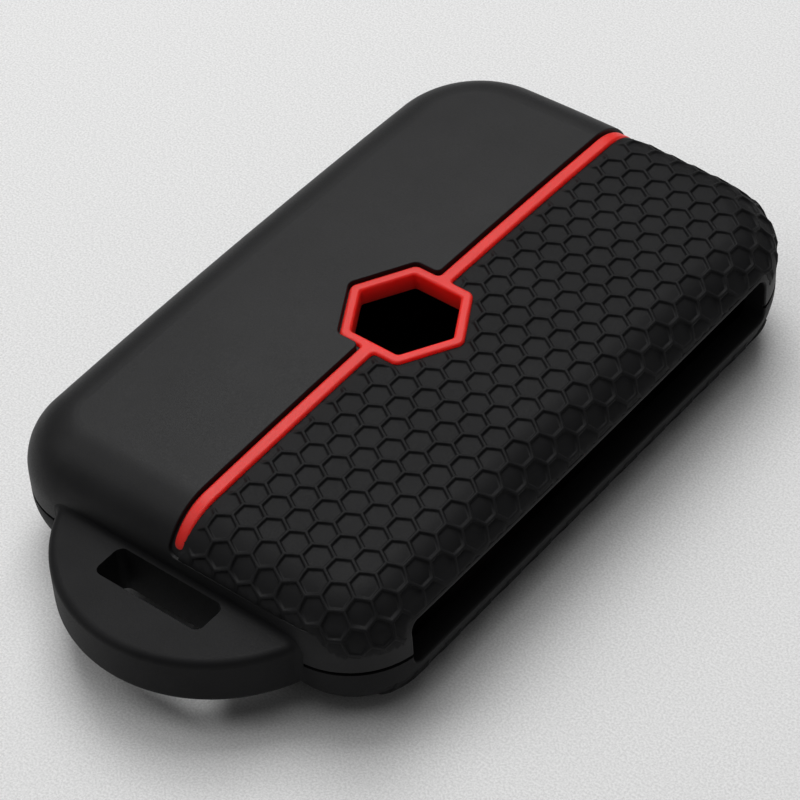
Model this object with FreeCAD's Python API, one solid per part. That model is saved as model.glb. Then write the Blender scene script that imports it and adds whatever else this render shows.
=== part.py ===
"""Key fob cover: a soft moulded sleeve for a card-shaped remote key.

The cover lies on its back. +Z points out of the front face, +Y points away from the key-ring lug and
+X points to the long side with the entry slot. The origin is the middle of the bounding box, on the
back face. All sizes are millimetres.
"""
import FreeCAD
import Part
import math
import os

from FreeCAD import Vector

# Outer body, measured at the level of the smooth front panel
BODY_WIDTH = 44.2
BODY_LENGTH = 70.0
BODY_HEIGHT = 15.9
NEAR_CORNER = 8.0
FAR_CORNER = 10.5
FRONT_EDGE_RADIUS = 5.8
BACK_EDGE_RADIUS = 6.7
CROWN_ACROSS = 0.8
CROWN_ALONG = 0.8
WALL = 2.25

# Seam between the two half-shells, a small groove round the outside
SEAM_HEIGHT = 7.2
SEAM_WIDTH = 0.4
SEAM_DEPTH = 0.3

# Grip side: a shallow tray below the level of the smooth panel, with honeycomb ribs on its floor
GRIP_DROP = 0.7
GRIP_DEPTH = 4.6
GRIP_CORNER = 0.6
RIM_EASE = 0.12
RIB_HEIGHT = 0.25
RIB_WIDTH = 0.4
CELL_PITCH = 2.6
FIRST_CELL = 0.47
GRIP_MARGIN = 0.8
GRIP_EDGE_SHARE = 0.7

# Coloured inlay: a stripe along the front and a hexagonal window bezel
STRIPE_X = 0.3
STRIPE_WIDTH = 1.4
STRIPE_RISE = 0.4
STRIPE_ROOT = 0.7
STRIPE_END_GAP = 0.3
PANEL_GAP = 0.15
WINDOW_RADIUS = 5.5
WINDOW_BAND = 1.05
WINDOW_OFFSET_Y = -1.5
BEZEL_CORNER = 0.9
WINDOW_CORNER = 0.5
INLAY_CORNER = 0.4
INLAY_EASE = 0.3

# Entry slot in the long side
SLOT_LENGTH = 54.3
SLOT_OFFSET_Y = -1.2
SLOT_BOTTOM = 5.7
SLOT_LIP = 0.5
SLOT_CORNER = 1.0
SLOT_EASE = 0.2

# Key-ring lug on the near end
LUG_PROJECTION = 9.3
LUG_RADIUS = 15.4
LUG_BOTTOM = 4.3
LUG_THICKNESS = 5.2
LUG_EDGE = 0.8
LUG_ROOT_FILLET = 0.8
LUG_SLOT_LENGTH = 12.3
LUG_SLOT_WIDTH = 3.6
LUG_SLOT_CORNER = 0.8
LUG_SLOT_GAP = 0.35

# Push-through button pads in the back wall, each hung on a thin sloping web
PAD_PITCH = 13.2
PAD_WIDTH = 15.0
PAD_LENGTH = 8.8
PAD_CORNER = 3.2
PAD_RECESS = 0.45
PAD_THICKNESS = 1.55
PAD_EDGE = 0.35
PLUNGER_RADIUS = 2.2
PLUNGER_LENGTH = 0.6
WEB_SPAN = 1.3
WEB_FOOT = 0.55
WEB_RISE = 0.75
WEB_THICKNESS = 0.45

# Raised symbols on the pads, as pen strokes on a small grid
SYMBOL_GRID = 0.6
SYMBOL_STROKE = 0.4
SYMBOL_HEIGHT = 0.2
PADLOCK = [(-2, -3), (2, -3), (2, 0), (-2, 0), (-2, -3)]
SYMBOLS = {
    "lock": [PADLOCK, [(-1, 0), (-1, 2), (1, 2), (1, 0)]],
    "unlock": [PADLOCK, [(1, 0), (1, 2), (3, 2), (3, 1)]],
    "boot": [
        [(-4, -2), (4, -2), (4, 0), (2, 0), (1, 2), (-1, 2), (-3, 0), (-4, 0), (-4, -2)],
        [(-1, 2), (-3, 4)],
    ],
    "light": [
        [(-1, -2), (-1, 2), (-3, 1), (-3, -1), (-1, -2)],
        [(0, 2), (4, 2)],
        [(0, 0), (4, 0)],
        [(0, -2), (4, -2)],
    ],
}

# Values that follow from the sizes above
HALF_WIDTH = BODY_WIDTH / 2
FAR_END = (BODY_LENGTH + LUG_PROJECTION) / 2
NEAR_END = FAR_END - BODY_LENGTH
BODY_MIDDLE = (FAR_END + NEAR_END) / 2
WINDOW_Y = BODY_MIDDLE + WINDOW_OFFSET_Y
BEZEL_RADIUS = WINDOW_RADIUS + WINDOW_BAND / math.cos(math.radians(30))
ACROSS_RADIUS = (HALF_WIDTH ** 2 + CROWN_ACROSS ** 2) / (2 * CROWN_ACROSS)
ALONG_RADIUS = ((BODY_LENGTH / 2) ** 2 + CROWN_ALONG ** 2) / (2 * CROWN_ALONG)
GRIP_BOTTOM = BODY_HEIGHT - GRIP_DEPTH
SLOT_MIDDLE = BODY_MIDDLE + SLOT_OFFSET_Y
SLOT_TOP = GRIP_BOTTOM - SLOT_LIP
STRIPE_LEVEL = GRIP_DROP - STRIPE_RISE
STRIPE_END = GRIP_BOTTOM + STRIPE_END_GAP
CAVITY_CEILING = BODY_HEIGHT - WALL
LUG_HALF_ROOT = math.sqrt(LUG_RADIUS ** 2 - (LUG_RADIUS - LUG_PROJECTION) ** 2)
PAD_TOP = PAD_RECESS + PAD_THICKNESS
PANEL_EDGE = STRIPE_X - STRIPE_WIDTH / 2 - PANEL_GAP
REACH = 2 * (BODY_LENGTH + LUG_PROJECTION)

# The three directions
ACROSS = Vector(1, 0, 0)
ALONG = Vector(0, 1, 0)
UP = Vector(0, 0, 1)

# How far from parallel, and how far apart, two things may be and still count as in line or touching
IN_LINE = 0.001
TOUCH = 0.005


def block(low, high):
    """A box between two corners."""
    size = [b - a for a, b in zip(low, high)]
    return Part.makeBox(*size, Vector(*low))


def edges_along(shape, direction):
    """The straight edges of a shape that run along a direction."""
    chosen = []
    for edge in shape.Edges:
        if isinstance(edge.Curve, Part.Line):
            if abs(edge.Curve.Direction.dot(direction)) > 1 - IN_LINE:
                chosen.append(edge)
    return chosen


def edges_near(edges, point, axes):
    """Those of some edges whose middle is level with a point along each of the axes."""
    chosen = []
    for edge in edges:
        offset = edge.CenterOfMass - point
        if all(abs(offset.dot(axis)) < TOUCH for axis in axes):
            chosen.append(edge)
    return chosen


def shared_edges(shape, first, second):
    """The edges of a shape that lie on the surfaces of two others, which is where those meet."""
    chosen = []
    for edge in shape.Edges:
        middle = Part.Vertex(edge.valueAt((edge.FirstParameter + edge.LastParameter) / 2))
        gaps = [other.Shells[0].distToShape(middle)[0] for other in (first, second)]
        if max(gaps) < TOUCH:
            chosen.append(edge)
    return chosen


def rounded_plate(width, length, corner, middle, low, high):
    """An upright prism on a rounded rectangle, centred on a point of the XY plane."""
    plate = block(
        (middle[0] - width / 2, middle[1] - length / 2, low),
        (middle[0] + width / 2, middle[1] + length / 2, high),
    )
    return plate.makeFillet(corner, edges_along(plate, UP))


def rounded_outline(width, length, corner, middle, height):
    """The rounded-rectangle wire at one height, for lofting."""
    plate = rounded_plate(width, length, corner, middle, height, height + 1)
    base = min(plate.Faces, key=lambda face: face.CenterOfMass.z)
    return base.OuterWire


def crown_tool(inset):
    """Everything above the crowned front: an arc across the body, swung along a larger arc."""
    half = BODY_WIDTH
    crest = BODY_HEIGHT - inset
    radius = ACROSS_RADIUS - inset
    rim = crest - radius + math.sqrt(radius ** 2 - half ** 2)
    ends = [Vector(side * half, BODY_MIDDLE, rim) for side in (-1, 1)]
    tops = [Vector(side * half, BODY_MIDDLE, BODY_HEIGHT + BODY_WIDTH) for side in (1, -1)]
    arc = Part.Arc(ends[0], Vector(0, BODY_MIDDLE, crest), ends[1]).toShape()
    corners = [ends[1]] + tops + [ends[0]]
    sides = [Part.LineSegment(a, b).toShape() for a, b in zip(corners, corners[1:])]
    section = Part.Face(Part.Wire([arc] + sides))
    pivot = Vector(0, BODY_MIDDLE, BODY_HEIGHT - ALONG_RADIUS)
    swing = math.degrees(BODY_LENGTH / ALONG_RADIUS)
    section.rotate(pivot, ACROSS, -swing)
    return section.revolve(pivot, ACROSS, 2 * swing)


def rounded_body(inset, wall_inset=None):
    """The whole body, solid, with its front, back and edges moved inwards by the inset.

    The upright walls move in by the same, unless they have an inset of their own. The body is a box
    under a crowned front. Its plan corners are rounded first, then the front and back edges all round.
    """
    if wall_inset is None:
        wall_inset = inset
    half = HALF_WIDTH - wall_inset
    body = block(
        (-half, NEAR_END + wall_inset, inset),
        (half, FAR_END - wall_inset, BODY_HEIGHT + BODY_WIDTH / 2),
    )
    uprights = edges_along(body, UP)
    near = [edge for edge in uprights if edge.CenterOfMass.y < BODY_MIDDLE]
    body = body.makeFillet(NEAR_CORNER - wall_inset, near)
    far = [edge for edge in edges_along(body, UP) if edge.CenterOfMass.y > BODY_MIDDLE + HALF_WIDTH]
    body = body.makeFillet(FAR_CORNER - wall_inset, far)
    body = body.cut(crown_tool(inset))
    front = max(body.Faces, key=lambda face: face.CenterOfMass.z)
    body = body.makeFillet(FRONT_EDGE_RADIUS - inset, front.OuterWire.Edges)
    back = min(body.Faces, key=lambda face: face.CenterOfMass.z)
    return body.makeFillet(BACK_EDGE_RADIUS - inset, back.OuterWire.Edges)


def hexagon_prism(radius, corner, low, high):
    """An upright hexagonal prism over the window, with flats towards the two ends."""
    points = []
    for step in range(6):
        angle = math.radians(60 * step)
        x = STRIPE_X + radius * math.cos(angle)
        y = WINDOW_Y + radius * math.sin(angle)
        points.append(Vector(x, y, low))
    prism = Part.Face(Part.makePolygon(points + points[:1])).extrude(Vector(0, 0, high - low))
    return prism.makeFillet(corner, edges_along(prism, UP))


def entry_slot_cutter():
    """The rounded opening through the +X wall, from the pocket to the outside."""
    cutter = block(
        (HALF_WIDTH - WALL - BACK_EDGE_RADIUS, SLOT_MIDDLE - SLOT_LENGTH / 2, SLOT_BOTTOM),
        (HALF_WIDTH + WALL, SLOT_MIDDLE + SLOT_LENGTH / 2, SLOT_TOP),
    )
    return cutter.makeFillet(SLOT_CORNER, edges_along(cutter, ACROSS))


def inlay_outline():
    """The upright prism that the inlay fills: a stripe with round tips and a hexagonal ring."""
    tip = STRIPE_END + STRIPE_WIDTH / 2
    stripe = block(
        (STRIPE_X - STRIPE_WIDTH / 2, -REACH, tip),
        (STRIPE_X + STRIPE_WIDTH / 2, REACH, 2 * BODY_HEIGHT),
    )
    round_tip = Part.makeCylinder(STRIPE_WIDTH / 2, 2 * REACH, Vector(STRIPE_X, -REACH, tip), ALONG)
    stripe = stripe.fuse(round_tip).removeSplitter()
    plan = stripe.fuse(hexagon_prism(BEZEL_RADIUS, BEZEL_CORNER, CAVITY_CEILING, 2 * BODY_HEIGHT))
    corners = []
    for side in (-1, 1):
        for end in (-1, 1):
            x = STRIPE_X + side * STRIPE_WIDTH / 2
            y = WINDOW_Y + end * BEZEL_RADIUS * math.cos(math.radians(30))
            corners += edges_near(edges_along(plan, UP), Vector(x, y, 0), (ACROSS, ALONG))
    plan = plan.makeFillet(INLAY_CORNER, corners)
    return plan.cut(hexagon_prism(WINDOW_RADIUS, WINDOW_CORNER, 0, 2 * BODY_HEIGHT))


def accent_inlay():
    """The stripe, which follows the front over both ends, joined to the window bezel.

    Its edges on the front are eased. The stripe is shallow, and the bezel goes through the wall.
    """
    level = rounded_body(STRIPE_LEVEL)
    outline = inlay_outline()
    inlay = level.common(outline)
    inlay = inlay.makeFillet(INLAY_EASE, shared_edges(inlay, level, outline))
    bezel = hexagon_prism(BEZEL_RADIUS, BEZEL_CORNER, CAVITY_CEILING, 2 * BODY_HEIGHT)
    return inlay.cut(rounded_body(GRIP_DROP + STRIPE_ROOT).cut(bezel))


def grip_floor(lift):
    """The rounded body that the grip side's floor follows, or a body above it by the lift.

    Its walls lie only a rib's height inside the sleeve's own, so that ribs on it end flush with them.
    """
    return rounded_body(GRIP_DROP - lift, RIB_HEIGHT - lift)


def grip_tray():
    """The layer taken off the front to form the grip side, from the panel edge down to a ledge."""
    side = block((PANEL_EDGE, -REACH, GRIP_BOTTOM), (REACH, REACH, 2 * BODY_HEIGHT))
    foot = Vector(PANEL_EDGE, 0, GRIP_BOTTOM)
    side = side.makeFillet(STRIPE_X - PANEL_EDGE, edges_near(side.Edges, foot, (ACROSS, UP)))
    around_window = hexagon_prism(
        BEZEL_RADIUS + PANEL_GAP, BEZEL_CORNER, CAVITY_CEILING, 2 * BODY_HEIGHT
    )
    plan = side.fuse(around_window)
    corners = edges_near(edges_along(plan, UP), foot, (ACROSS,))
    corners = [edge for edge in corners if abs(edge.CenterOfMass.y - WINDOW_Y) < BEZEL_RADIUS + PANEL_GAP]
    return plan.makeFillet(GRIP_CORNER, corners).cut(grip_floor(0))


def sleeve():
    """The two halves in one: the hollow body with its grip tray and entry slot, their rims eased."""
    body = rounded_body(0)
    tray = grip_tray()
    form = body.cut(tray)
    form = form.makeFillet(RIM_EASE, shared_edges(form, body, tray))
    slot = entry_slot_cutter()
    cut_form = form.cut(slot)
    cut_form = cut_form.makeFillet(SLOT_EASE, shared_edges(cut_form, form, slot))
    return cut_form.cut(rounded_body(WALL))


def seam_groove():
    """The shallow ring that marks the seam outside both half-shells, left out behind the lug."""
    low = SEAM_HEIGHT - SEAM_WIDTH / 2
    high = SEAM_HEIGHT + SEAM_WIDTH / 2
    band = block((-REACH, -REACH, low), (REACH, REACH, high))
    behind_lug = block(
        (STRIPE_X - LUG_HALF_ROOT, -REACH, low), (STRIPE_X + LUG_HALF_ROOT, BODY_MIDDLE, high)
    )
    return rounded_body(0).cut(rounded_body(SEAM_DEPTH)).common(band.cut(behind_lug))


def pad_middles():
    """The middle of each button pad, spaced evenly along the back."""
    first = BODY_MIDDLE - PAD_PITCH * (len(SYMBOLS) - 1) / 2
    return [(0.0, first + PAD_PITCH * index) for index in range(len(SYMBOLS))]


def pad_hole(middle):
    """The opening in the back wall that a pad and its web fill."""
    return rounded_plate(
        PAD_WIDTH + 2 * WEB_SPAN,
        PAD_LENGTH + 2 * WEB_SPAN,
        PAD_CORNER + WEB_SPAN,
        middle,
        -WALL,
        2 * WALL,
    )


def front_shell(form, inlay):
    """The upper half of the sleeve, with the stripe's groove, the window and half of the slot."""
    upper = block((-REACH, -REACH, SEAM_HEIGHT), (REACH, REACH, 2 * BODY_HEIGHT))
    window = hexagon_prism(BEZEL_RADIUS, BEZEL_CORNER, 0, 2 * BODY_HEIGHT)
    return form.common(upper).cut(window).cut(inlay).cut(seam_groove())


def back_shell(form):
    """The lower half of the sleeve, with the pad openings and half of the slot."""
    lower = block((-REACH, -REACH, -BODY_HEIGHT), (REACH, REACH, SEAM_HEIGHT))
    shell = form.common(lower).cut(seam_groove())
    for middle in pad_middles():
        shell = shell.cut(pad_hole(middle))
    return shell


def ring_lug():
    """The D-shaped lug with its strap slot, rooted on the near end by a concave fillet.

    The plate is joined to a solid body, the line where they meet is filleted, and the body is then
    taken away, which leaves the lug with a root that fits the end wall.
    """
    centre = Vector(STRIPE_X, NEAR_END - LUG_PROJECTION + LUG_RADIUS, LUG_BOTTOM)
    disc = Part.makeCylinder(LUG_RADIUS, LUG_THICKNESS, centre)
    rims = [edge for edge in disc.Edges if isinstance(edge.Curve, Part.Circle)]
    plate = disc.makeFillet(LUG_EDGE, rims).common(
        block((-REACH, -REACH, 0), (REACH, NEAR_END + NEAR_CORNER, BODY_HEIGHT))
    )
    body = rounded_body(0)
    joined = body.fuse(plate)
    joined = joined.makeFillet(LUG_ROOT_FILLET, shared_edges(joined, body, plate))
    slot_middle = NEAR_END - LUG_SLOT_GAP - LUG_SLOT_WIDTH / 2
    slot = rounded_plate(
        LUG_SLOT_LENGTH, LUG_SLOT_WIDTH, LUG_SLOT_CORNER, (STRIPE_X, slot_middle), 0, BODY_HEIGHT
    )
    return joined.cut(body).cut(slot)


def cell_face(x, y):
    """One flat hexagonal cell, with its corners towards the two ends."""
    radius = (CELL_PITCH - RIB_WIDTH) / math.sqrt(3)
    corners = []
    for step in range(6):
        angle = math.radians(60 * step + 30)
        corners.append(Vector(x + radius * math.cos(angle), y + radius * math.sin(angle), GRIP_BOTTOM))
    return Part.Face(Part.makePolygon(corners + corners[:1]))


def grip_ribs():
    """The honeycomb ribs on the front of the grip side, one connected net of hexagonal cells.

    The net is a flat face with a hexagon cut out of it at every cell, carried up to the front. Rows
    of cells run along X, and every other row is shifted by half a pitch.
    """
    rim = FRONT_EDGE_RADIUS * (1 - GRIP_EDGE_SHARE)
    left = STRIPE_X + STRIPE_WIDTH / 2 + GRIP_MARGIN
    plan = rounded_plate(
        BODY_WIDTH - 2 * rim, BODY_LENGTH - 2 * rim, FAR_CORNER - rim, (0, BODY_MIDDLE),
        GRIP_BOTTOM, BODY_HEIGHT,
    )
    plan = plan.common(block((left, -REACH, 0), (REACH, REACH, BODY_HEIGHT)))
    around_window = hexagon_prism(BEZEL_RADIUS + GRIP_MARGIN, BEZEL_CORNER, 0, BODY_HEIGHT)
    plan = plan.cut(around_window)
    base = min(plan.Faces, key=lambda face: face.CenterOfMass.z)
    row_step = CELL_PITCH * math.sqrt(3) / 2
    rows = int(BODY_LENGTH / row_step / 2) + 1
    columns = int(BODY_WIDTH / CELL_PITCH / 2) + 1
    cells = []
    for row in range(-rows, rows + 1):
        for column in range(columns):
            x = STRIPE_X + FIRST_CELL + (column + 0.5 * (row % 2)) * CELL_PITCH
            cells.append(cell_face(x, BODY_MIDDLE + row * row_step))
    net = max(base.cut(cells).Faces, key=lambda face: face.Area)
    layer = grip_floor(RIB_HEIGHT).cut(grip_floor(0))
    return layer.common(net.extrude(Vector(0, 0, BODY_HEIGHT)))


def symbol(name, middle):
    """A pad's raised symbol: every pen stroke is a bar with round ends."""
    low = PAD_RECESS - SYMBOL_HEIGHT
    pieces = []
    for stroke in SYMBOLS[name]:
        points = [
            Vector(middle[0] + SYMBOL_GRID * x, middle[1] + SYMBOL_GRID * y, low) for x, y in stroke
        ]
        for point in points:
            pieces.append(Part.makeCylinder(SYMBOL_STROKE / 2, SYMBOL_HEIGHT, point))
        for start, end in zip(points, points[1:]):
            along = end - start
            bar = Part.makeBox(along.Length, SYMBOL_STROKE, SYMBOL_HEIGHT)
            bar.translate(Vector(0, -SYMBOL_STROKE / 2, 0))
            bar.rotate(Vector(), UP, math.degrees(math.atan2(along.y, along.x)))
            bar.translate(start)
            pieces.append(bar)
    return pieces


def button_pad(name, middle):
    """A pad with a soft outer edge, a raised symbol, and a plunger towards the key's own button."""
    pad = rounded_plate(PAD_WIDTH, PAD_LENGTH, PAD_CORNER, middle, PAD_RECESS, PAD_TOP)
    face = min(pad.Faces, key=lambda item: item.CenterOfMass.z)
    pad = pad.makeFillet(PAD_EDGE, face.OuterWire.Edges)
    plunger = Part.makeCylinder(PLUNGER_RADIUS, PLUNGER_LENGTH, Vector(*middle, PAD_TOP))
    return pad.fuse([plunger] + symbol(name, middle)).removeSplitter()


def web_cone(middle, foot):
    """A solid under the web's sloping face: straight up to its foot, then narrowing to the pad."""
    wide = PAD_WIDTH + 2 * WEB_SPAN, PAD_LENGTH + 2 * WEB_SPAN, PAD_CORNER + WEB_SPAN
    low = rounded_plate(*wide, middle, -WALL, foot)
    start = rounded_outline(*wide, middle, foot)
    end = rounded_outline(PAD_WIDTH, PAD_LENGTH, PAD_CORNER, middle, foot + WEB_RISE)
    return low.fuse(Part.makeLoft([start, end], True, True))


def button_web(middle):
    """The thin sloping web between a pad and the edge of its opening."""
    web = web_cone(middle, WEB_FOOT + WEB_THICKNESS).cut(web_cone(middle, WEB_FOOT))
    return web.cut(rounded_plate(PAD_WIDTH, PAD_LENGTH, PAD_CORNER, middle, -WALL, 2 * WALL))


def save(name, shape):
    """Writes one sub-part and prints how many solids it holds and its volume."""
    shape.exportStep(os.path.join("parts", name + ".step"))
    print(name, len(shape.Solids), "solid", round(shape.Volume, 1), "mm3", shape.isValid())


def main():
    os.makedirs("parts", exist_ok=True)
    form = sleeve()
    inlay = accent_inlay()
    save("accent_inlay", inlay)
    save("front_shell", front_shell(form, inlay))
    save("back_shell", back_shell(form))
    save("ring_lug", ring_lug())
    save("grip_ribs", grip_ribs())
    for name, middle in zip(SYMBOLS, pad_middles()):
        save("button_pad_" + name, button_pad(name, middle))
        save("button_web_" + name, button_web(middle))


main()
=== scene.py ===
"""Looks of a key fob cover: a soft silicone sleeve with a honeycomb grip and a red inlay.

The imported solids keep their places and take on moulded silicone. The honeycomb of the grip side and of the
lower lip, and the thin webs round the buttons, are surfaces worked out here. Lengths are metres.
"""

import math

import bmesh
import bpy
import numpy as np
from bpy.props import FloatProperty, FloatVectorProperty, PointerProperty
from bpy.types import Operator, Panel, PropertyGroup
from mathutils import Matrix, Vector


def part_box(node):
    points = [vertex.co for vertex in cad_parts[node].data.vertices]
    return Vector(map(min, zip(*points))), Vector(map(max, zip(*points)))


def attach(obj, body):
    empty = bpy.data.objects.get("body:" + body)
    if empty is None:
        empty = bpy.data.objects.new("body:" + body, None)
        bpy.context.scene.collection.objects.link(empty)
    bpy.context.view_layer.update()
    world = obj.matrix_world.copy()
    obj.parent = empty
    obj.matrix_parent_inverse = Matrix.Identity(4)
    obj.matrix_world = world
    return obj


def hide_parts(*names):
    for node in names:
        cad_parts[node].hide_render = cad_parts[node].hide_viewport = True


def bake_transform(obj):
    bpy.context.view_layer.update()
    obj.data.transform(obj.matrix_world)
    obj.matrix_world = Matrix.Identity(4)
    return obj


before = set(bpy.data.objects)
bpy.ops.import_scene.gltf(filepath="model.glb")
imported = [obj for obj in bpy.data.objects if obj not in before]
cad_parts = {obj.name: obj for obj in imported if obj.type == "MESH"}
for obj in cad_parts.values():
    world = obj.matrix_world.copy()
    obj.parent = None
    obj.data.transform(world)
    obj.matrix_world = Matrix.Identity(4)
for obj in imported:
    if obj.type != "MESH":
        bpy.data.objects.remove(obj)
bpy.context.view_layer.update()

bl_info = {
    "name": "Key fob cover",
    "version": (1, 0, 0),
    "blender": (4, 5, 0),
    "location": "View3D > Sidebar > Key cover",
    "description": "Dresses the key fob cover in silicone and sets its stage",
    "category": "Object",
}

MM = 0.001

# The sleeve as its solids have it, with its width, length and middle read from the frame. The slot takes the
# widest part of the wall on the open side, so the width is that of the closed side.
BACK_LOW, BACK_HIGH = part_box("back_shell")
HALF_WIDTH = -BACK_LOW[0]
HALF_LENGTH = (BACK_HIGH[1] - BACK_LOW[1]) / 2
MIDDLE_Y = (BACK_HIGH[1] + BACK_LOW[1]) / 2
CREST = 15.9 * MM
CROWN = 0.8 * MM
ACROSS_RADIUS = (HALF_WIDTH**2 + CROWN**2) / (2 * CROWN)
ALONG_RADIUS = (HALF_LENGTH**2 + CROWN**2) / (2 * CROWN)
NEAR_CORNER = 8.0 * MM
FAR_CORNER = 10.5 * MM
FRONT_EDGE = 5.8 * MM
BACK_EDGE = 6.7 * MM

# The grip side: how far its floor lies below the smooth side, and the ledge that it stops at
GRIP_DROP = 0.7 * MM
GRIP_LEDGE = 11.3 * MM

# The inlay: the stripe's middle line and width, the window's middle and corner radius, and the bezel round it
STRIPE_X = 0.3 * MM
STRIPE_WIDTH = 1.4 * MM
WINDOW_Y = MIDDLE_Y - 1.5 * MM
WINDOW_RADIUS = 5.5 * MM
BEZEL_WIDTH = 1.05 * MM
BEZEL_APOTHEM = WINDOW_RADIUS * math.cos(math.radians(30)) + BEZEL_WIDTH
BEZEL_SIDES = np.radians([-90.0, -30.0, 30.0, 90.0])

# The ends of the entry slot, how much lower the honeycomb reaches past them round the corners, and the
# sideways share of the outward direction between which it gets there
SLOT_NEAR = -23.7 * MM
SLOT_FAR = 30.6 * MM
CORNER_REACH = 2.0 * MM
CORNER_START = 1.0 * MM
CORNER_TURN = (0.2, 0.55)

# How the honeycomb fades: down into the wall, over the ledge, under the wall's surface, towards the inlay
FADE_HEIGHT = 1.2 * MM
LEDGE_COVER = 1.2 * MM
SINK = 0.2 * MM
MARGIN_FADE = 0.6 * MM

# Cross-section of a rib, as distances from its middle line, and the rings of points that follow it
RIB_FLAT = 0.09 * MM
RIB_FLANK = 0.16 * MM
RING_INSETS = np.array([0.0, 0.10, 0.15, 0.20, 0.25, 0.36, 0.75]) * MM
RING_POINTS = 12

# The skin's thickness, how far its edges run on out of sight, how near points merge, and a guard against
# dividing by nothing
SKIN = 0.25 * MM
HIDDEN = 0.35 * MM
SNAP = 0.002 * MM
TINY = 1e-9

# Honeycomb on the lower lip: angles round the back's rounded edge, its ribs' height, the sideways share of
# the outward direction between which it begins, and how many fades past its end the sheet is trimmed
LIP_START = math.radians(24)
LIP_STOP = math.radians(70)
LIP_FADE = math.radians(4)
LIP_RIB = 0.22 * MM
LIP_TURN = (0.75, 0.90)
LIP_TRIM = 0.3

# Button webs, whose places and outer sizes come from the boxes of the pads and the webs: the pad's corner
# radius, the web's thickness, and the steps of its profile and of its corners
WEB_CORNER = 3.2 * MM
WEB_THICKNESS = 0.45 * MM
WEB_STEPS = 10
CORNER_STEPS = 12
BUTTONS = ("lock", "unlock", "boot", "light")

# Silicone: how it bends light, the size of its clouds, the grain's depth as a share of its size, the spread
# of dullness, and how deep red, green and blue light go into the clear red
SILICONE_IOR = 1.42
CLOUD_SIZE = 6 * MM
CLOUD_RANGE = (0.35, 0.75)
GRAIN_DEPTH = 1 / 8
GRAIN_STRENGTH = 0.35
DULL_SPREAD = 0.06
GLOW_DEPTH = 3.0 * MM
GLOW_SHARES = (1.0, 0.1, 0.08)

# Table: half its side, the size, depth and contrast of its grain, and its darkest and lightest specks
TABLE_HALF = 1.5
TABLE_GRAIN = 0.22 * MM
TABLE_GRAIN_DEPTH = 0.06 * MM
TABLE_GRAIN_STRENGTH = 0.4
TABLE_GRAIN_RANGE = (0.35, 0.65)
TABLE_SPECKS = (0.9, 1.13)
TABLE_ROUGHNESS = 0.85

# Places and sides of the square lamps
BACK_LAMP = ((-0.22, 0.26, 0.72), 0.5)
GLOSS_LAMP = ((-0.35, 0.42, 0.50), 0.5)
TOP_LAMP = ((0.08, -0.08, 0.85), 0.6)
NEAR_LAMP = ((-0.42, -0.30, 0.52), 0.4)

# The camera's place and turn, found by fitting the cover's outline to the photograph
CAMERA_PLACE = np.array([140.36, -159.21, 214.78]) * MM
CAMERA_TURN = np.radians([45.478, 2.694, 38.439])
CAMERA_LENS = 142.14
SENSOR_WIDTH = 36.0


def linear(code):
    """Turns an sRGB colour such as #1c1c1d into the linear red, green and blue that shaders use."""
    srgb = np.array([int(code[start : start + 2], 16) for start in (1, 3, 5)]) / 255
    return tuple(np.where(srgb <= 0.04045, srgb / 12.92, ((srgb + 0.055) / 1.055) ** 2.4).tolist())


class GripSettings(PropertyGroup):
    """Sizes of the honeycomb."""

    pitch: FloatProperty(
        name="Cell pitch", description="Distance between two cells' middles",
        default=2.6 * MM, unit="LENGTH",
    )
    rib_height: FloatProperty(
        name="Rib height", description="Height of a rib above its cell's floor",
        default=0.25 * MM, unit="LENGTH",
    )
    first_cell: FloatProperty(
        name="First cell", description="From the stripe's middle to the first cell's middle",
        default=0.47 * MM, unit="LENGTH",
    )
    stripe_margin: FloatProperty(
        name="Stripe margin", description="Plain floor beside the stripe",
        default=0.3 * MM, unit="LENGTH",
    )
    bezel_margin: FloatProperty(
        name="Bezel margin", description="Plain floor round the bezel", default=0.1 * MM, unit="LENGTH",
    )
    floor_lift: FloatProperty(
        name="Floor lift", description="How far the skin lies above its solid",
        default=0.05 * MM, unit="LENGTH",
    )


class FinishSettings(PropertyGroup):
    """Colours and surface of the two silicones."""

    black: FloatVectorProperty(
        name="Black", description="Colour of the sleeve",
        size=3, subtype="COLOR", default=linear("#121213"),
    )
    worn_black: FloatVectorProperty(
        name="Dusty black", description="Colour where fine dust clings", size=3, subtype="COLOR",
        default=linear("#181819"),
    )
    red: FloatVectorProperty(
        name="Red", description="Colour of the inlay",
        size=3, subtype="COLOR", default=linear("#f4251d"),
    )
    deep_red: FloatVectorProperty(
        name="Deep red", description="Colour of the inlay's darker clouds", size=3, subtype="COLOR",
        default=linear("#e61f18"),
    )
    grain: FloatProperty(
        name="Grain", description="Size of the mould's etched grain", default=0.14 * MM, unit="LENGTH",
    )


class StageSettings(PropertyGroup):
    """Floor and light."""

    floor: FloatVectorProperty(
        name="Floor", description="Colour of the floor",
        size=3, subtype="COLOR", default=linear("#dbdbdb"),
    )
    back_power: FloatProperty(
        name="Back light", description="Power of the large lamp high behind the cover",
        default=3.9, unit="POWER",
    )
    gloss_power: FloatProperty(
        name="Gloss light", description="Power of the lamp that the smooth side mirrors",
        default=0.9, unit="POWER",
    )
    top_power: FloatProperty(
        name="Top light", description="Power of the lamp overhead", default=1.5, unit="POWER",
    )
    near_power: FloatProperty(
        name="Near light", description="Power of the lamp at the lug's left",
        default=1.15, unit="POWER",
    )
    sky: FloatProperty(
        name="Sky", description="Strength of the even light from all round",
        default=0.1, subtype="FACTOR",
    )


def add_node(tree, kind, sockets=None, **settings):
    """Adds a node with its own settings, and gives each named socket a value or a link."""
    node = tree.nodes.new(kind)
    for name, value in settings.items():
        setattr(node, name, value)
    for name, value in (sockets or {}).items():
        if isinstance(value, bpy.types.NodeSocket):
            tree.links.new(value, node.inputs[name])
        else:
            node.inputs[name].default_value = value
    return node


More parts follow.
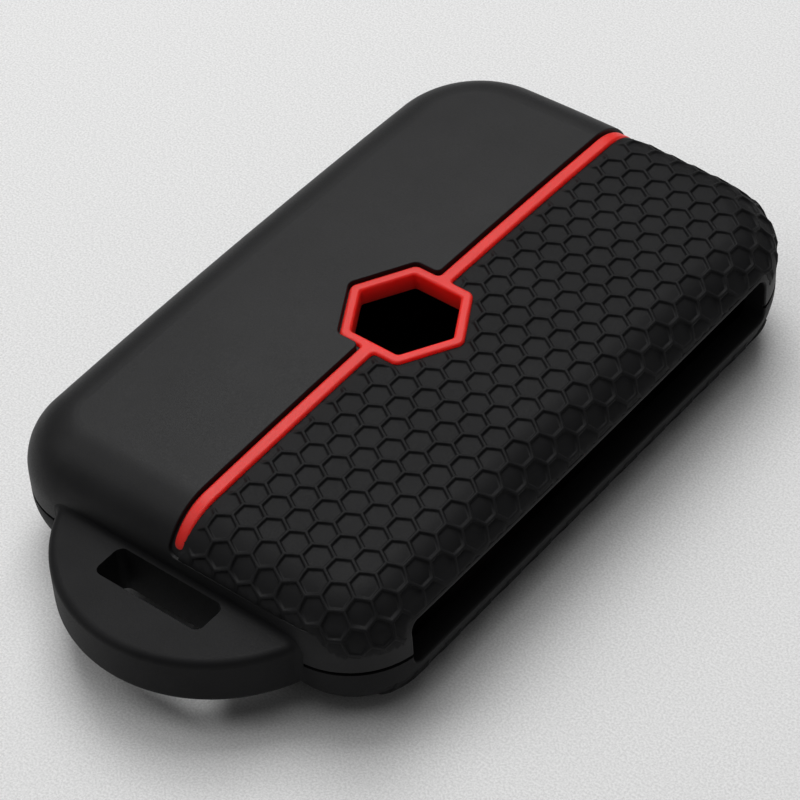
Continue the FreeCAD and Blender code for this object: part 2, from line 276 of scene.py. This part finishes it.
def new_material(name):
    """An empty node material and its tree."""
    material = bpy.data.materials.new(name)
    material.use_nodes = True
    material.node_tree.nodes.clear()
    return material, material.node_tree


def two_tones(tree, factor, places, first, second):
    """Colour that goes from the first tone to the second as the factor goes between two places."""
    ramp = add_node(tree, "ShaderNodeValToRGB", {"Fac": factor})
    for element, place, tone in zip(ramp.color_ramp.elements, places, (first, second)):
        element.position = place
        element.color = (*tone, 1.0)
    return ramp.outputs["Color"]


def silicone(name, first, second, roughness, gloss, glow=0.0):
    """Moulded silicone: a matt skin with the mould's etched grain, soft sheen and faint clouds of colour.

    The eye reads it as rubber because its highlights are wide and weak, and because fine dust lightens it
    in patches a few millimetres across. Glow is the share of light that spreads under a clear pigment's skin.
    """
    grain = bpy.context.scene.keycover_finish.grain
    material, tree = new_material(name)
    place = add_node(tree, "ShaderNodeTexCoord").outputs["Object"]
    clouds = add_node(
        tree, "ShaderNodeTexNoise",
        {"Vector": place, "Scale": 1 / CLOUD_SIZE, "Detail": 4.0, "Roughness": 0.6},
    )
    tint = two_tones(tree, clouds.outputs["Fac"], CLOUD_RANGE, first, second)
    speckle = add_node(
        tree, "ShaderNodeTexNoise", {"Vector": place, "Scale": 1 / grain, "Detail": 2.0, "Roughness": 0.5},
    )
    dullness = add_node(
        tree, "ShaderNodeMapRange",
        {"Value": speckle.outputs["Fac"], "From Min": 0.3, "From Max": 0.7,
         "To Min": roughness - DULL_SPREAD, "To Max": roughness + DULL_SPREAD},
    )
    etched = add_node(
        tree, "ShaderNodeBump",
        {"Height": speckle.outputs["Fac"], "Strength": GRAIN_STRENGTH, "Distance": grain * GRAIN_DEPTH},
    )
    shader = add_node(
        tree, "ShaderNodeBsdfPrincipled",
        {"Base Color": tint, "Roughness": dullness.outputs["Result"], "IOR": SILICONE_IOR,
         "Specular IOR Level": gloss, "Subsurface Weight": glow, "Subsurface Radius": GLOW_SHARES,
         "Subsurface Scale": GLOW_DEPTH, "Normal": etched.outputs["Normal"]},
    )
    add_node(tree, "ShaderNodeOutputMaterial", {"Surface": shader.outputs["BSDF"]})
    return material


def satin_black():
    """The front half's black, from a polished part of the mould, so that it mirrors a little more."""
    finish = bpy.context.scene.keycover_finish
    return silicone("black_silicone_satin", finish.black, finish.worn_black, roughness=0.5, gloss=0.25)


def matt_black():
    """The matt black of the grip, the lug, the back and the buttons, made once and then used again."""
    finish = bpy.context.scene.keycover_finish
    name = "black_silicone_matt"
    known = bpy.data.materials.get(name)
    return known or silicone(name, finish.black, finish.worn_black, roughness=0.6, gloss=0.16)


def satin_red():
    """The inlay's red, a clear pigment with a soft gloss that glows where light comes through from behind."""
    finish = bpy.context.scene.keycover_finish
    return silicone("red_silicone_satin", finish.red, finish.deep_red, roughness=0.45, gloss=0.42, glow=0.8)


def table_paper():
    """Pale grey table: a rough board whose fine grain shows as specks of light and shade."""
    stage = bpy.context.scene.keycover_stage
    material, tree = new_material("pale_grained_table")
    place = add_node(tree, "ShaderNodeTexCoord").outputs["Object"]
    grain = add_node(
        tree, "ShaderNodeTexNoise",
        {"Vector": place, "Scale": 1 / TABLE_GRAIN, "Detail": 2.0, "Roughness": 0.6},
    )
    dark, light = ([min(value * speck, 1.0) for value in stage.floor] for speck in TABLE_SPECKS)
    tint = two_tones(tree, grain.outputs["Fac"], TABLE_GRAIN_RANGE, dark, light)
    rough = add_node(
        tree, "ShaderNodeBump",
        {"Height": grain.outputs["Fac"], "Strength": TABLE_GRAIN_STRENGTH, "Distance": TABLE_GRAIN_DEPTH},
    )
    shader = add_node(
        tree, "ShaderNodeBsdfPrincipled",
        {"Base Color": tint, "Roughness": TABLE_ROUGHNESS, "Normal": rough.outputs["Normal"]},
    )
    add_node(tree, "ShaderNodeOutputMaterial", {"Surface": shader.outputs["BSDF"]})
    return material


def crown_height(x, y, inset):
    """Height of the front's crown less an inset: an arc across the sleeve, swung along about a deep axis."""
    arc = CREST - ACROSS_RADIUS + np.sqrt((ACROSS_RADIUS - inset) ** 2 - x**2)
    axis = CREST - ALONG_RADIUS
    return axis + np.sqrt((arc - axis) ** 2 - y**2)


def roll_over(x, y, edge):
    """Splits flat places, measured from the sleeve's middle, into a foot, a direction and a run.

    The foot is the nearest place on the face inside its rounded edge, the direction points out from the
    rectangle between the corners' middles, and the run is the arc length left to roll over the edge.
    """
    corner = np.where(y < 0, NEAR_CORNER, FAR_CORNER)
    place = np.stack([x, y], -1)
    half = np.stack([HALF_WIDTH - corner, HALF_LENGTH - corner], -1)
    core = np.clip(place, -half, half)
    reach = np.linalg.norm(place - core, axis=-1)
    direction = (place - core) / np.maximum(reach, TINY)[:, None]
    straight = np.minimum(reach, corner - edge)
    return core + direction * straight[:, None], direction, reach - straight


def turn_over_edge(u, v, settings):
    """Foot, direction and angle round the front edge of flat places on the grip side.

    The floor's walls lie a rib's height inside the sleeve's own. The arc length is that of the rib tops.
    """
    top_radius = FRONT_EDGE - GRIP_DROP + settings.rib_height
    foot, direction, run = roll_over(u, v - MIDDLE_Y, top_radius)
    return foot, direction, run / top_radius


def wrap_grip(u, v, lift, settings, lowest=0.0):
    """Places flat honeycomb points on the grip side: over the crown, then round the edge by arc length.

    The floor is the sleeve's front sunk by the drop. No point goes under the lowest height.
    """
    foot, direction, angle = turn_over_edge(u, v, settings)
    radius = FRONT_EDGE - GRIP_DROP + lift
    centre = crown_height(foot[:, 0], foot[:, 1], FRONT_EDGE)
    angle = np.minimum(angle, np.arccos(np.clip((lowest - centre) / radius, -1.0, 1.0)))
    flat = foot + direction * (radius * np.sin(angle))[:, None]
    return np.stack([flat[:, 0], flat[:, 1] + MIDDLE_Y, centre + radius * np.cos(angle)], -1)


def wrap_lip(u, v, lift):
    """Places flat honeycomb points on the back's rounded edge, rolled up by arc length."""
    foot, direction, run = roll_over(u, v - MIDDLE_Y, BACK_EDGE)
    angle = run / BACK_EDGE
    radius = BACK_EDGE + lift
    flat = foot + direction * (radius * np.sin(angle))[:, None]
    return np.stack([flat[:, 0], flat[:, 1] + MIDDLE_Y, BACK_EDGE - radius * np.cos(angle)], -1)


def smooth(value):
    """Smooth step from 0 to 1 as the value goes from 0 to 1."""
    part = np.clip(value, 0.0, 1.0)
    return part * part * (3 - 2 * part)


def cell_middles(settings, low, high):
    """Middles of the hexagon cells between two flat corners: rows of one pitch, every other one half over."""
    pitch = settings.pitch
    row_gap = pitch * math.sqrt(3) / 2
    first_row = math.floor((low[1] - MIDDLE_Y) / row_gap)
    last_row = math.ceil((high[1] - MIDDLE_Y) / row_gap)
    columns = np.arange(math.floor(low[0] / pitch) - 1, math.ceil(high[0] / pitch) + 2)
    rows = np.arange(first_row, last_row + 1)
    column, row = np.meshgrid(columns, rows)
    across = STRIPE_X + settings.first_cell + (column + 0.5 * (row % 2)) * pitch
    return np.stack([across.ravel(), MIDDLE_Y + row_gap * row.ravel()], -1)


def flat_honeycomb(middles, pitch):
    """A flat sheet of hexagon cells, each a nest of rings round its middle.

    A ring runs through the corners and the side middles of a hexagon whose sides lie one inset inside the
    cell's own, and the innermost ring closes on the middle. Returns points and faces, doubles not merged.
    """
    turn = np.radians(360 / RING_POINTS) * np.arange(RING_POINTS)
    to_corner = np.where(np.arange(RING_POINTS) % 2, 2 / math.sqrt(3), 1.0)
    ring = np.stack([np.cos(turn) * to_corner, np.sin(turn) * to_corner], -1)
    nest = (pitch / 2 - RING_INSETS)[:, None, None] * ring
    cell = np.concatenate([nest.reshape(-1, 2), np.zeros((1, 2))])
    points = (middles[:, None, :] + cell[None]).reshape(-1, 2)
    starts = np.arange(len(middles))[:, None, None] * len(cell)
    outer = np.arange(len(RING_INSETS) - 1)[:, None] * RING_POINTS
    within = outer + RING_POINTS
    step = np.arange(RING_POINTS)[None]
    onward = (step + 1) % RING_POINTS
    quads = np.stack([outer + step, outer + onward, within + onward, within + step], -1)
    inner = (len(RING_INSETS) - 1) * RING_POINTS
    fan = np.stack([inner + step[0], inner + onward[0], np.full(RING_POINTS, len(cell) - 1)], -1)
    quads = (starts + quads.reshape(1, -1, 4)).reshape(-1, 4)
    fan = (starts + fan[None]).reshape(-1, 3)
    flat = np.concatenate([points, np.zeros((len(points), 1))], -1)
    return flat, quads.tolist() + fan.tolist()


def rib_relief(u, v, settings):
    """Share of the rib's height at flat places: one on a rib's top, zero on a cell's floor.

    The nearest cell middle comes from the two oblong lattices that make up the honeycomb. The distance to the
    rib's middle line is half the pitch less the longest reach along the three side directions.
    """
    pitch = settings.pitch
    row_gap = pitch * math.sqrt(3) / 2
    spacing = np.array([pitch, 2 * row_gap])
    place = np.stack([u - STRIPE_X - settings.first_cell, v - MIDDLE_Y], -1)
    shift = spacing / 2
    even = place - np.round(place / spacing) * spacing
    odd = place - shift - np.round((place - shift) / spacing) * spacing
    nearer = np.sum(even**2, -1) < np.sum(odd**2, -1)
    offset = np.where(nearer[:, None], even, odd)
    sides = np.radians([0.0, 60.0, 120.0])
    reach = np.abs(offset @ np.stack([np.cos(sides), np.sin(sides)])).max(-1)
    return 1 - smooth((pitch / 2 - reach - RIB_FLAT) / RIB_FLANK)


def honeycomb_foot(u, v, settings):
    """Height at which the honeycomb ends: the ledge, and lower round the two corners beside the slot."""
    direction = turn_over_edge(u, v, settings)[1]
    along = wrap_grip(u, v, settings.floor_lift, settings)[:, 1]
    past_slot = np.maximum(SLOT_NEAR - along, along - SLOT_FAR) / CORNER_START
    turned = (direction[:, 0] - CORNER_TURN[0]) / (CORNER_TURN[1] - CORNER_TURN[0])
    return GRIP_LEDGE - CORNER_REACH * smooth(past_slot) * smooth(turned)


def wall_depth(u, v, settings):
    """How far the floor lies below the sleeve: the drop on the front, a rib's height on the walls."""
    angle = turn_over_edge(u, v, settings)[2]
    return GRIP_DROP - (GRIP_DROP - settings.rib_height) * np.sin(angle)


def hexagon_reach(u, v):
    """Distance from the window's middle, measured square to the nearest side of its hexagon."""
    normals = np.stack([np.cos(BEZEL_SIDES), np.sin(BEZEL_SIDES)])
    place = np.stack([u - STRIPE_X, v - WINDOW_Y], -1)
    return np.abs(place @ normals).max(-1)


def sheet_mesh(points, faces):
    """A bmesh of a flat sheet with its doubles merged."""
    mesh = bpy.data.meshes.new("sheet")
    mesh.from_pydata(points.tolist(), [], faces)
    sheet = bmesh.new()
    sheet.from_mesh(mesh)
    bpy.data.meshes.remove(mesh)
    bmesh.ops.remove_doubles(sheet, verts=sheet.verts[:], dist=SNAP)
    return sheet


def cut_sheet(sheet, place, normal):
    """Cuts new edges into the whole sheet along one straight line, and removes nothing."""
    everything = sheet.verts[:] + sheet.edges[:] + sheet.faces[:]
    bmesh.ops.bisect_plane(
        sheet, geom=everything, dist=SNAP, plane_co=(*place, 0.0), plane_no=(*normal, 0.0),
    )


def trim_sheet(sheet, keep):
    """Removes the faces whose middle the keep function rejects."""
    sheet.faces.ensure_lookup_table()
    middles = np.array([face.calc_center_median()[:2] for face in sheet.faces])
    dropped = [sheet.faces[index] for index in np.flatnonzero(~keep(middles[:, 0], middles[:, 1]))]
    bmesh.ops.delete(sheet, geom=dropped, context="FACES")


def thick_sheet(sheet, name, lay):
    """Closes a flat sheet into a thin slab and lays it on the sleeve.

    lay takes flat places and a mask that is true on the slab's upper side, and returns places in space.
    """
    bmesh.ops.solidify(sheet, geom=sheet.faces[:], thickness=SKIN)
    mesh = bpy.data.meshes.new(name)
    sheet.to_mesh(mesh)
    sheet.free()
    flat = np.empty(len(mesh.vertices) * 3)
    mesh.vertices.foreach_get("co", flat)
    flat = flat.reshape(-1, 3)
    upper = np.abs(flat[:, 2]) < SKIN / 2
    mesh.vertices.foreach_set("co", lay(flat[:, 0], flat[:, 1], upper).ravel())
    slab = bmesh.new()
    slab.from_mesh(mesh)
    bmesh.ops.recalc_face_normals(slab, faces=slab.faces[:])
    slab.to_mesh(mesh)
    slab.free()
    return finish_piece(name, mesh, matt_black())


def finish_piece(name, mesh, material):
    """Puts a finished mesh into the scene, smooth and with its material."""
    mesh.shade_smooth()
    mesh.materials.append(material)
    piece = bpy.data.objects.new(name, mesh)
    bpy.context.scene.collection.objects.link(piece)
    return piece


class KEYCOVER_OT_dress_solids(Operator):
    """Gives the front half satin black silicone, the inlay red, and all other solids matt black"""

    bl_idname = "keycover.dress_solids"
    bl_label = "Dress solids"

    def execute(self, context):
        special = {"accent_inlay": satin_red(), "front_shell": satin_black()}
        for name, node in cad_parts.items():
            node.data.materials.clear()
            node.data.materials.append(special.get(name, matt_black()))
        return {"FINISHED"}


class KEYCOVER_OT_lay_honeycomb(Operator):
    """Lays the honeycomb skin over the grip side, with plain margins beside the stripe and the bezel"""

    bl_idname = "keycover.lay_honeycomb"
    bl_label = "Lay honeycomb"

    def execute(self, context):
        settings = context.scene.keycover_grip
        stripe_line = STRIPE_X + STRIPE_WIDTH / 2 + settings.stripe_margin
        bezel_line = BEZEL_APOTHEM + settings.bezel_margin
        overrun = FRONT_EDGE * (math.pi / 2 - 1)
        low = (STRIPE_X, MIDDLE_Y - HALF_LENGTH - overrun)
        high = (HALF_WIDTH + overrun, MIDDLE_Y + HALF_LENGTH + overrun)
        sheet = sheet_mesh(*flat_honeycomb(cell_middles(settings, low, high), settings.pitch))
        for fade in (0.0, MARGIN_FADE):
            cut_sheet(sheet, (stripe_line + fade, 0.0), (1.0, 0.0))
            for turn in BEZEL_SIDES:
                normal = np.array([math.cos(turn), math.sin(turn)])
                cut_sheet(sheet, normal * (bezel_line + fade) + (STRIPE_X, WINDOW_Y), normal)

        def above_foot(u, v):
            height = wrap_grip(u, v, settings.floor_lift, settings)[:, 2]
            return height - honeycomb_foot(u, v, settings)

        def keep(u, v):
            beside = u > STRIPE_X + HIDDEN
            around = hexagon_reach(u, v) > BEZEL_APOTHEM - HIDDEN
            return beside & around & (above_foot(u, v) > -HIDDEN)

        def lay(u, v, upper):
            above = above_foot(u, v)
            foot = honeycomb_foot(u, v, settings)
            shown = smooth(above / FADE_HEIGHT)
            on_wall = smooth((GRIP_LEDGE + LEDGE_COVER - foot - above) / LEDGE_COVER)
            flush = wall_depth(u, v, settings) * np.maximum(1 - shown, on_wall)
            margin = np.minimum(u - stripe_line, hexagon_reach(u, v) - bezel_line) / MARGIN_FADE
            ribs = settings.rib_height * shown * smooth(margin) * rib_relief(u, v, settings)
            lift = settings.floor_lift + flush + ribs - SINK * smooth(-above / HIDDEN)
            return wrap_grip(u, v, np.where(upper, lift, -SKIN), settings, foot - HIDDEN)

        trim_sheet(sheet, keep)
        grip = thick_sheet(sheet, "honeycomb_grip", lay)
        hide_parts("grip_ribs")
        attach(grip, "cover")
        return {"FINISHED"}


class KEYCOVER_OT_grip_lower_lip(Operator):
    """Lays a short band of the same honeycomb round the lower edge of the open side"""

    bl_idname = "keycover.grip_lower_lip"
    bl_label = "Grip lower lip"

    def execute(self, context):
        settings = context.scene.keycover_grip
        low = (0.0, MIDDLE_Y - HALF_LENGTH)
        high = (HALF_WIDTH + BACK_EDGE, MIDDLE_Y + HALF_LENGTH)
        sheet = sheet_mesh(*flat_honeycomb(cell_middles(settings, low, high), settings.pitch))

        def band(u, v):
            _, direction, run = roll_over(u, v - MIDDLE_Y, BACK_EDGE)
            angle = run / BACK_EDGE
            inside = np.minimum(angle - LIP_START, LIP_STOP - angle) / LIP_FADE
            return np.minimum(inside, (direction[:, 0] - LIP_TURN[0]) / (LIP_TURN[1] - LIP_TURN[0]))

        def lay(u, v, upper):
            field = smooth(band(u, v))
            lift = (settings.floor_lift + SKIN / 2) * field - SKIN / 2
            lift = lift + LIP_RIB * field * rib_relief(u, v, settings)
            return wrap_lip(u, v, np.where(upper, lift, -SKIN))

        trim_sheet(sheet, lambda u, v: band(u, v) > -LIP_TRIM)
        lip = thick_sheet(sheet, "lower_lip_grip", lay)
        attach(lip, "cover")
        return {"FINISHED"}


def rounded_ring(half, corner):
    """Points of rounded rectangles: quarter arcs round the four corner middles, joined by straights.

    half and corner hold one size for each ring. Returns an array of rings, points and two coordinates.
    """
    quarter = np.linspace(0, math.pi / 2, CORNER_STEPS)
    turn = (np.arange(4)[:, None] * math.pi / 2 + quarter).ravel()
    signs = np.repeat(np.array([[1, 1], [-1, 1], [-1, -1], [1, -1]]), CORNER_STEPS, axis=0)
    arc = np.stack([np.cos(turn), np.sin(turn)], -1)
    return signs * (half - corner[:, None])[:, None, :] + arc * corner[:, None, None]


def button_web(button):
    """A thin rubber web: its profile runs in from the wall along a smooth S, turns at the pad and runs back.

    Each step of the profile is a rounded rectangle round the button, wider at the wall than at the pad.
    """
    wall_low, wall_high = (np.array(corner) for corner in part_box(f"button_web_{button}"))
    pad_low, pad_high = (np.array(corner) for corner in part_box(f"button_pad_{button}"))
    middle = (wall_low + wall_high) / 2
    wall_half = (wall_high - wall_low)[:2] / 2
    pad_half = (pad_high - pad_low)[:2] / 2
    inward = np.linspace(0, 1, WEB_STEPS)
    share = np.concatenate([inward, inward[::-1]])
    rise = (wall_high[2] - wall_low[2] - WEB_THICKNESS) * smooth(share)
    height = wall_low[2] + rise + np.repeat([0.0, WEB_THICKNESS], WEB_STEPS)
    half = wall_half + (pad_half - wall_half) * share[:, None]
    corner = WEB_CORNER + (half - pad_half)[:, 0]
    rings = rounded_ring(half, corner) + middle[:2]
    points = np.concatenate([rings, np.broadcast_to(height[:, None, None], (*rings.shape[:2], 1))], -1)
    count, around = rings.shape[:2]
    ring = np.arange(count)[:, None]
    step = np.arange(around)[None]
    after = (ring + 1) % count
    onward = (step + 1) % around
    faces = np.stack([ring * around + step, after * around + step, after * around + onward,
                      ring * around + onward], -1)
    mesh = bpy.data.meshes.new(f"thin_web_{button}")
    mesh.from_pydata(points.reshape(-1, 3).tolist(), [], faces.reshape(-1, 4).tolist())
    web = bmesh.new()
    web.from_mesh(mesh)
    bmesh.ops.remove_doubles(web, verts=web.verts[:], dist=SNAP)
    bmesh.ops.recalc_face_normals(web, faces=web.faces[:])
    web.to_mesh(mesh)
    web.free()
    return finish_piece(f"thin_web_{button}", mesh, matt_black())


class KEYCOVER_OT_hang_webs(Operator):
    """Hangs each button pad in a thin web that bends between the sleeve and the pad"""

    bl_idname = "keycover.hang_webs"
    bl_label = "Hang webs"

    def execute(self, context):
        for button in BUTTONS:
            web = button_web(button)
            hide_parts(f"button_web_{button}")
            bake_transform(web)
        return {"FINISHED"}


def area_lamp(name, place, size, power):
    """A square soft lamp that faces the middle of the cover."""
    lamp = bpy.data.lights.new(name, "AREA")
    lamp.size = size
    lamp.energy = power
    holder = bpy.data.objects.new(name, lamp)
    holder.location = place
    towards = np.array([0.0, MIDDLE_Y, 0.0]) - np.array(place)
    flat = math.hypot(towards[0], towards[1])
    tilt = math.atan2(flat, -towards[2])
    turn = math.atan2(towards[1], towards[0]) - math.pi / 2
    holder.rotation_euler = (tilt, 0.0, turn)
    bpy.context.scene.collection.objects.link(holder)


class KEYCOVER_OT_set_stage(Operator):
    """Sets the pale table, the soft light and the camera at the photograph's angle"""

    bl_idname = "keycover.set_stage"
    bl_label = "Set stage"

    def execute(self, context):
        scene = context.scene
        settings = scene.keycover_stage
        scene.view_settings.view_transform = "Standard"

        mesh = bpy.data.meshes.new("table")
        corners = [(x * TABLE_HALF, y * TABLE_HALF, 0) for x, y in ((-1, -1), (1, -1), (1, 1), (-1, 1))]
        mesh.from_pydata(corners, [], [(0, 1, 2, 3)])
        table = finish_piece("table", mesh, table_paper())

        area_lamp("back_lamp", *BACK_LAMP, settings.back_power)
        area_lamp("gloss_lamp", *GLOSS_LAMP, settings.gloss_power)
        area_lamp("top_lamp", *TOP_LAMP, settings.top_power)
        area_lamp("near_lamp", *NEAR_LAMP, settings.near_power)

        world = bpy.data.worlds.new("even_sky")
        world.use_nodes = True
        sky = world.node_tree.nodes["Background"]
        sky.inputs["Color"].default_value = (1.0, 1.0, 1.0, 1.0)
        sky.inputs["Strength"].default_value = settings.sky
        scene.world = world

        lens = bpy.data.cameras.new("camera")
        lens.lens = CAMERA_LENS
        lens.sensor_width = SENSOR_WIDTH
        camera = bpy.data.objects.new("camera", lens)
        camera.location = CAMERA_PLACE
        camera.rotation_euler = CAMERA_TURN
        scene.collection.objects.link(camera)
        scene.camera = camera
        return {"FINISHED"}


class KEYCOVER_PT_sidebar(Panel):
    """Shows the settings of the cover and a button for each step"""

    bl_idname = "KEYCOVER_PT_sidebar"
    bl_label = "Key fob cover"
    bl_space_type = "VIEW_3D"
    bl_region_type = "UI"
    bl_category = "Key cover"

    def draw(self, context):
        scene = context.scene
        for group in (scene.keycover_grip, scene.keycover_finish, scene.keycover_stage):
            for name in group.__annotations__:
                self.layout.prop(group, name)
        for operator in OPERATORS:
            self.layout.operator(operator.bl_idname)


OPERATORS = (
    KEYCOVER_OT_dress_solids,
    KEYCOVER_OT_lay_honeycomb,
    KEYCOVER_OT_grip_lower_lip,
    KEYCOVER_OT_hang_webs,
    KEYCOVER_OT_set_stage,
)
CLASSES = (GripSettings, FinishSettings, StageSettings, *OPERATORS, KEYCOVER_PT_sidebar)


def register():
    """Registers the classes and hangs their settings on the scene."""
    for item in CLASSES:
        bpy.utils.register_class(item)
    bpy.types.Scene.keycover_grip = PointerProperty(type=GripSettings)
    bpy.types.Scene.keycover_finish = PointerProperty(type=FinishSettings)
    bpy.types.Scene.keycover_stage = PointerProperty(type=StageSettings)


def unregister():
    """Removes the settings and the classes again."""
    del bpy.types.Scene.keycover_stage
    del bpy.types.Scene.keycover_finish
    del bpy.types.Scene.keycover_grip
    for item in reversed(CLASSES):
        bpy.utils.unregister_class(item)


def main():
    """Builds the whole picture."""
    register()
    bpy.ops.keycover.dress_solids()
    bpy.ops.keycover.lay_honeycomb()
    bpy.ops.keycover.grip_lower_lip()
    bpy.ops.keycover.hang_webs()
    bpy.ops.keycover.set_stage()


if __name__ == "__main__":
    main()
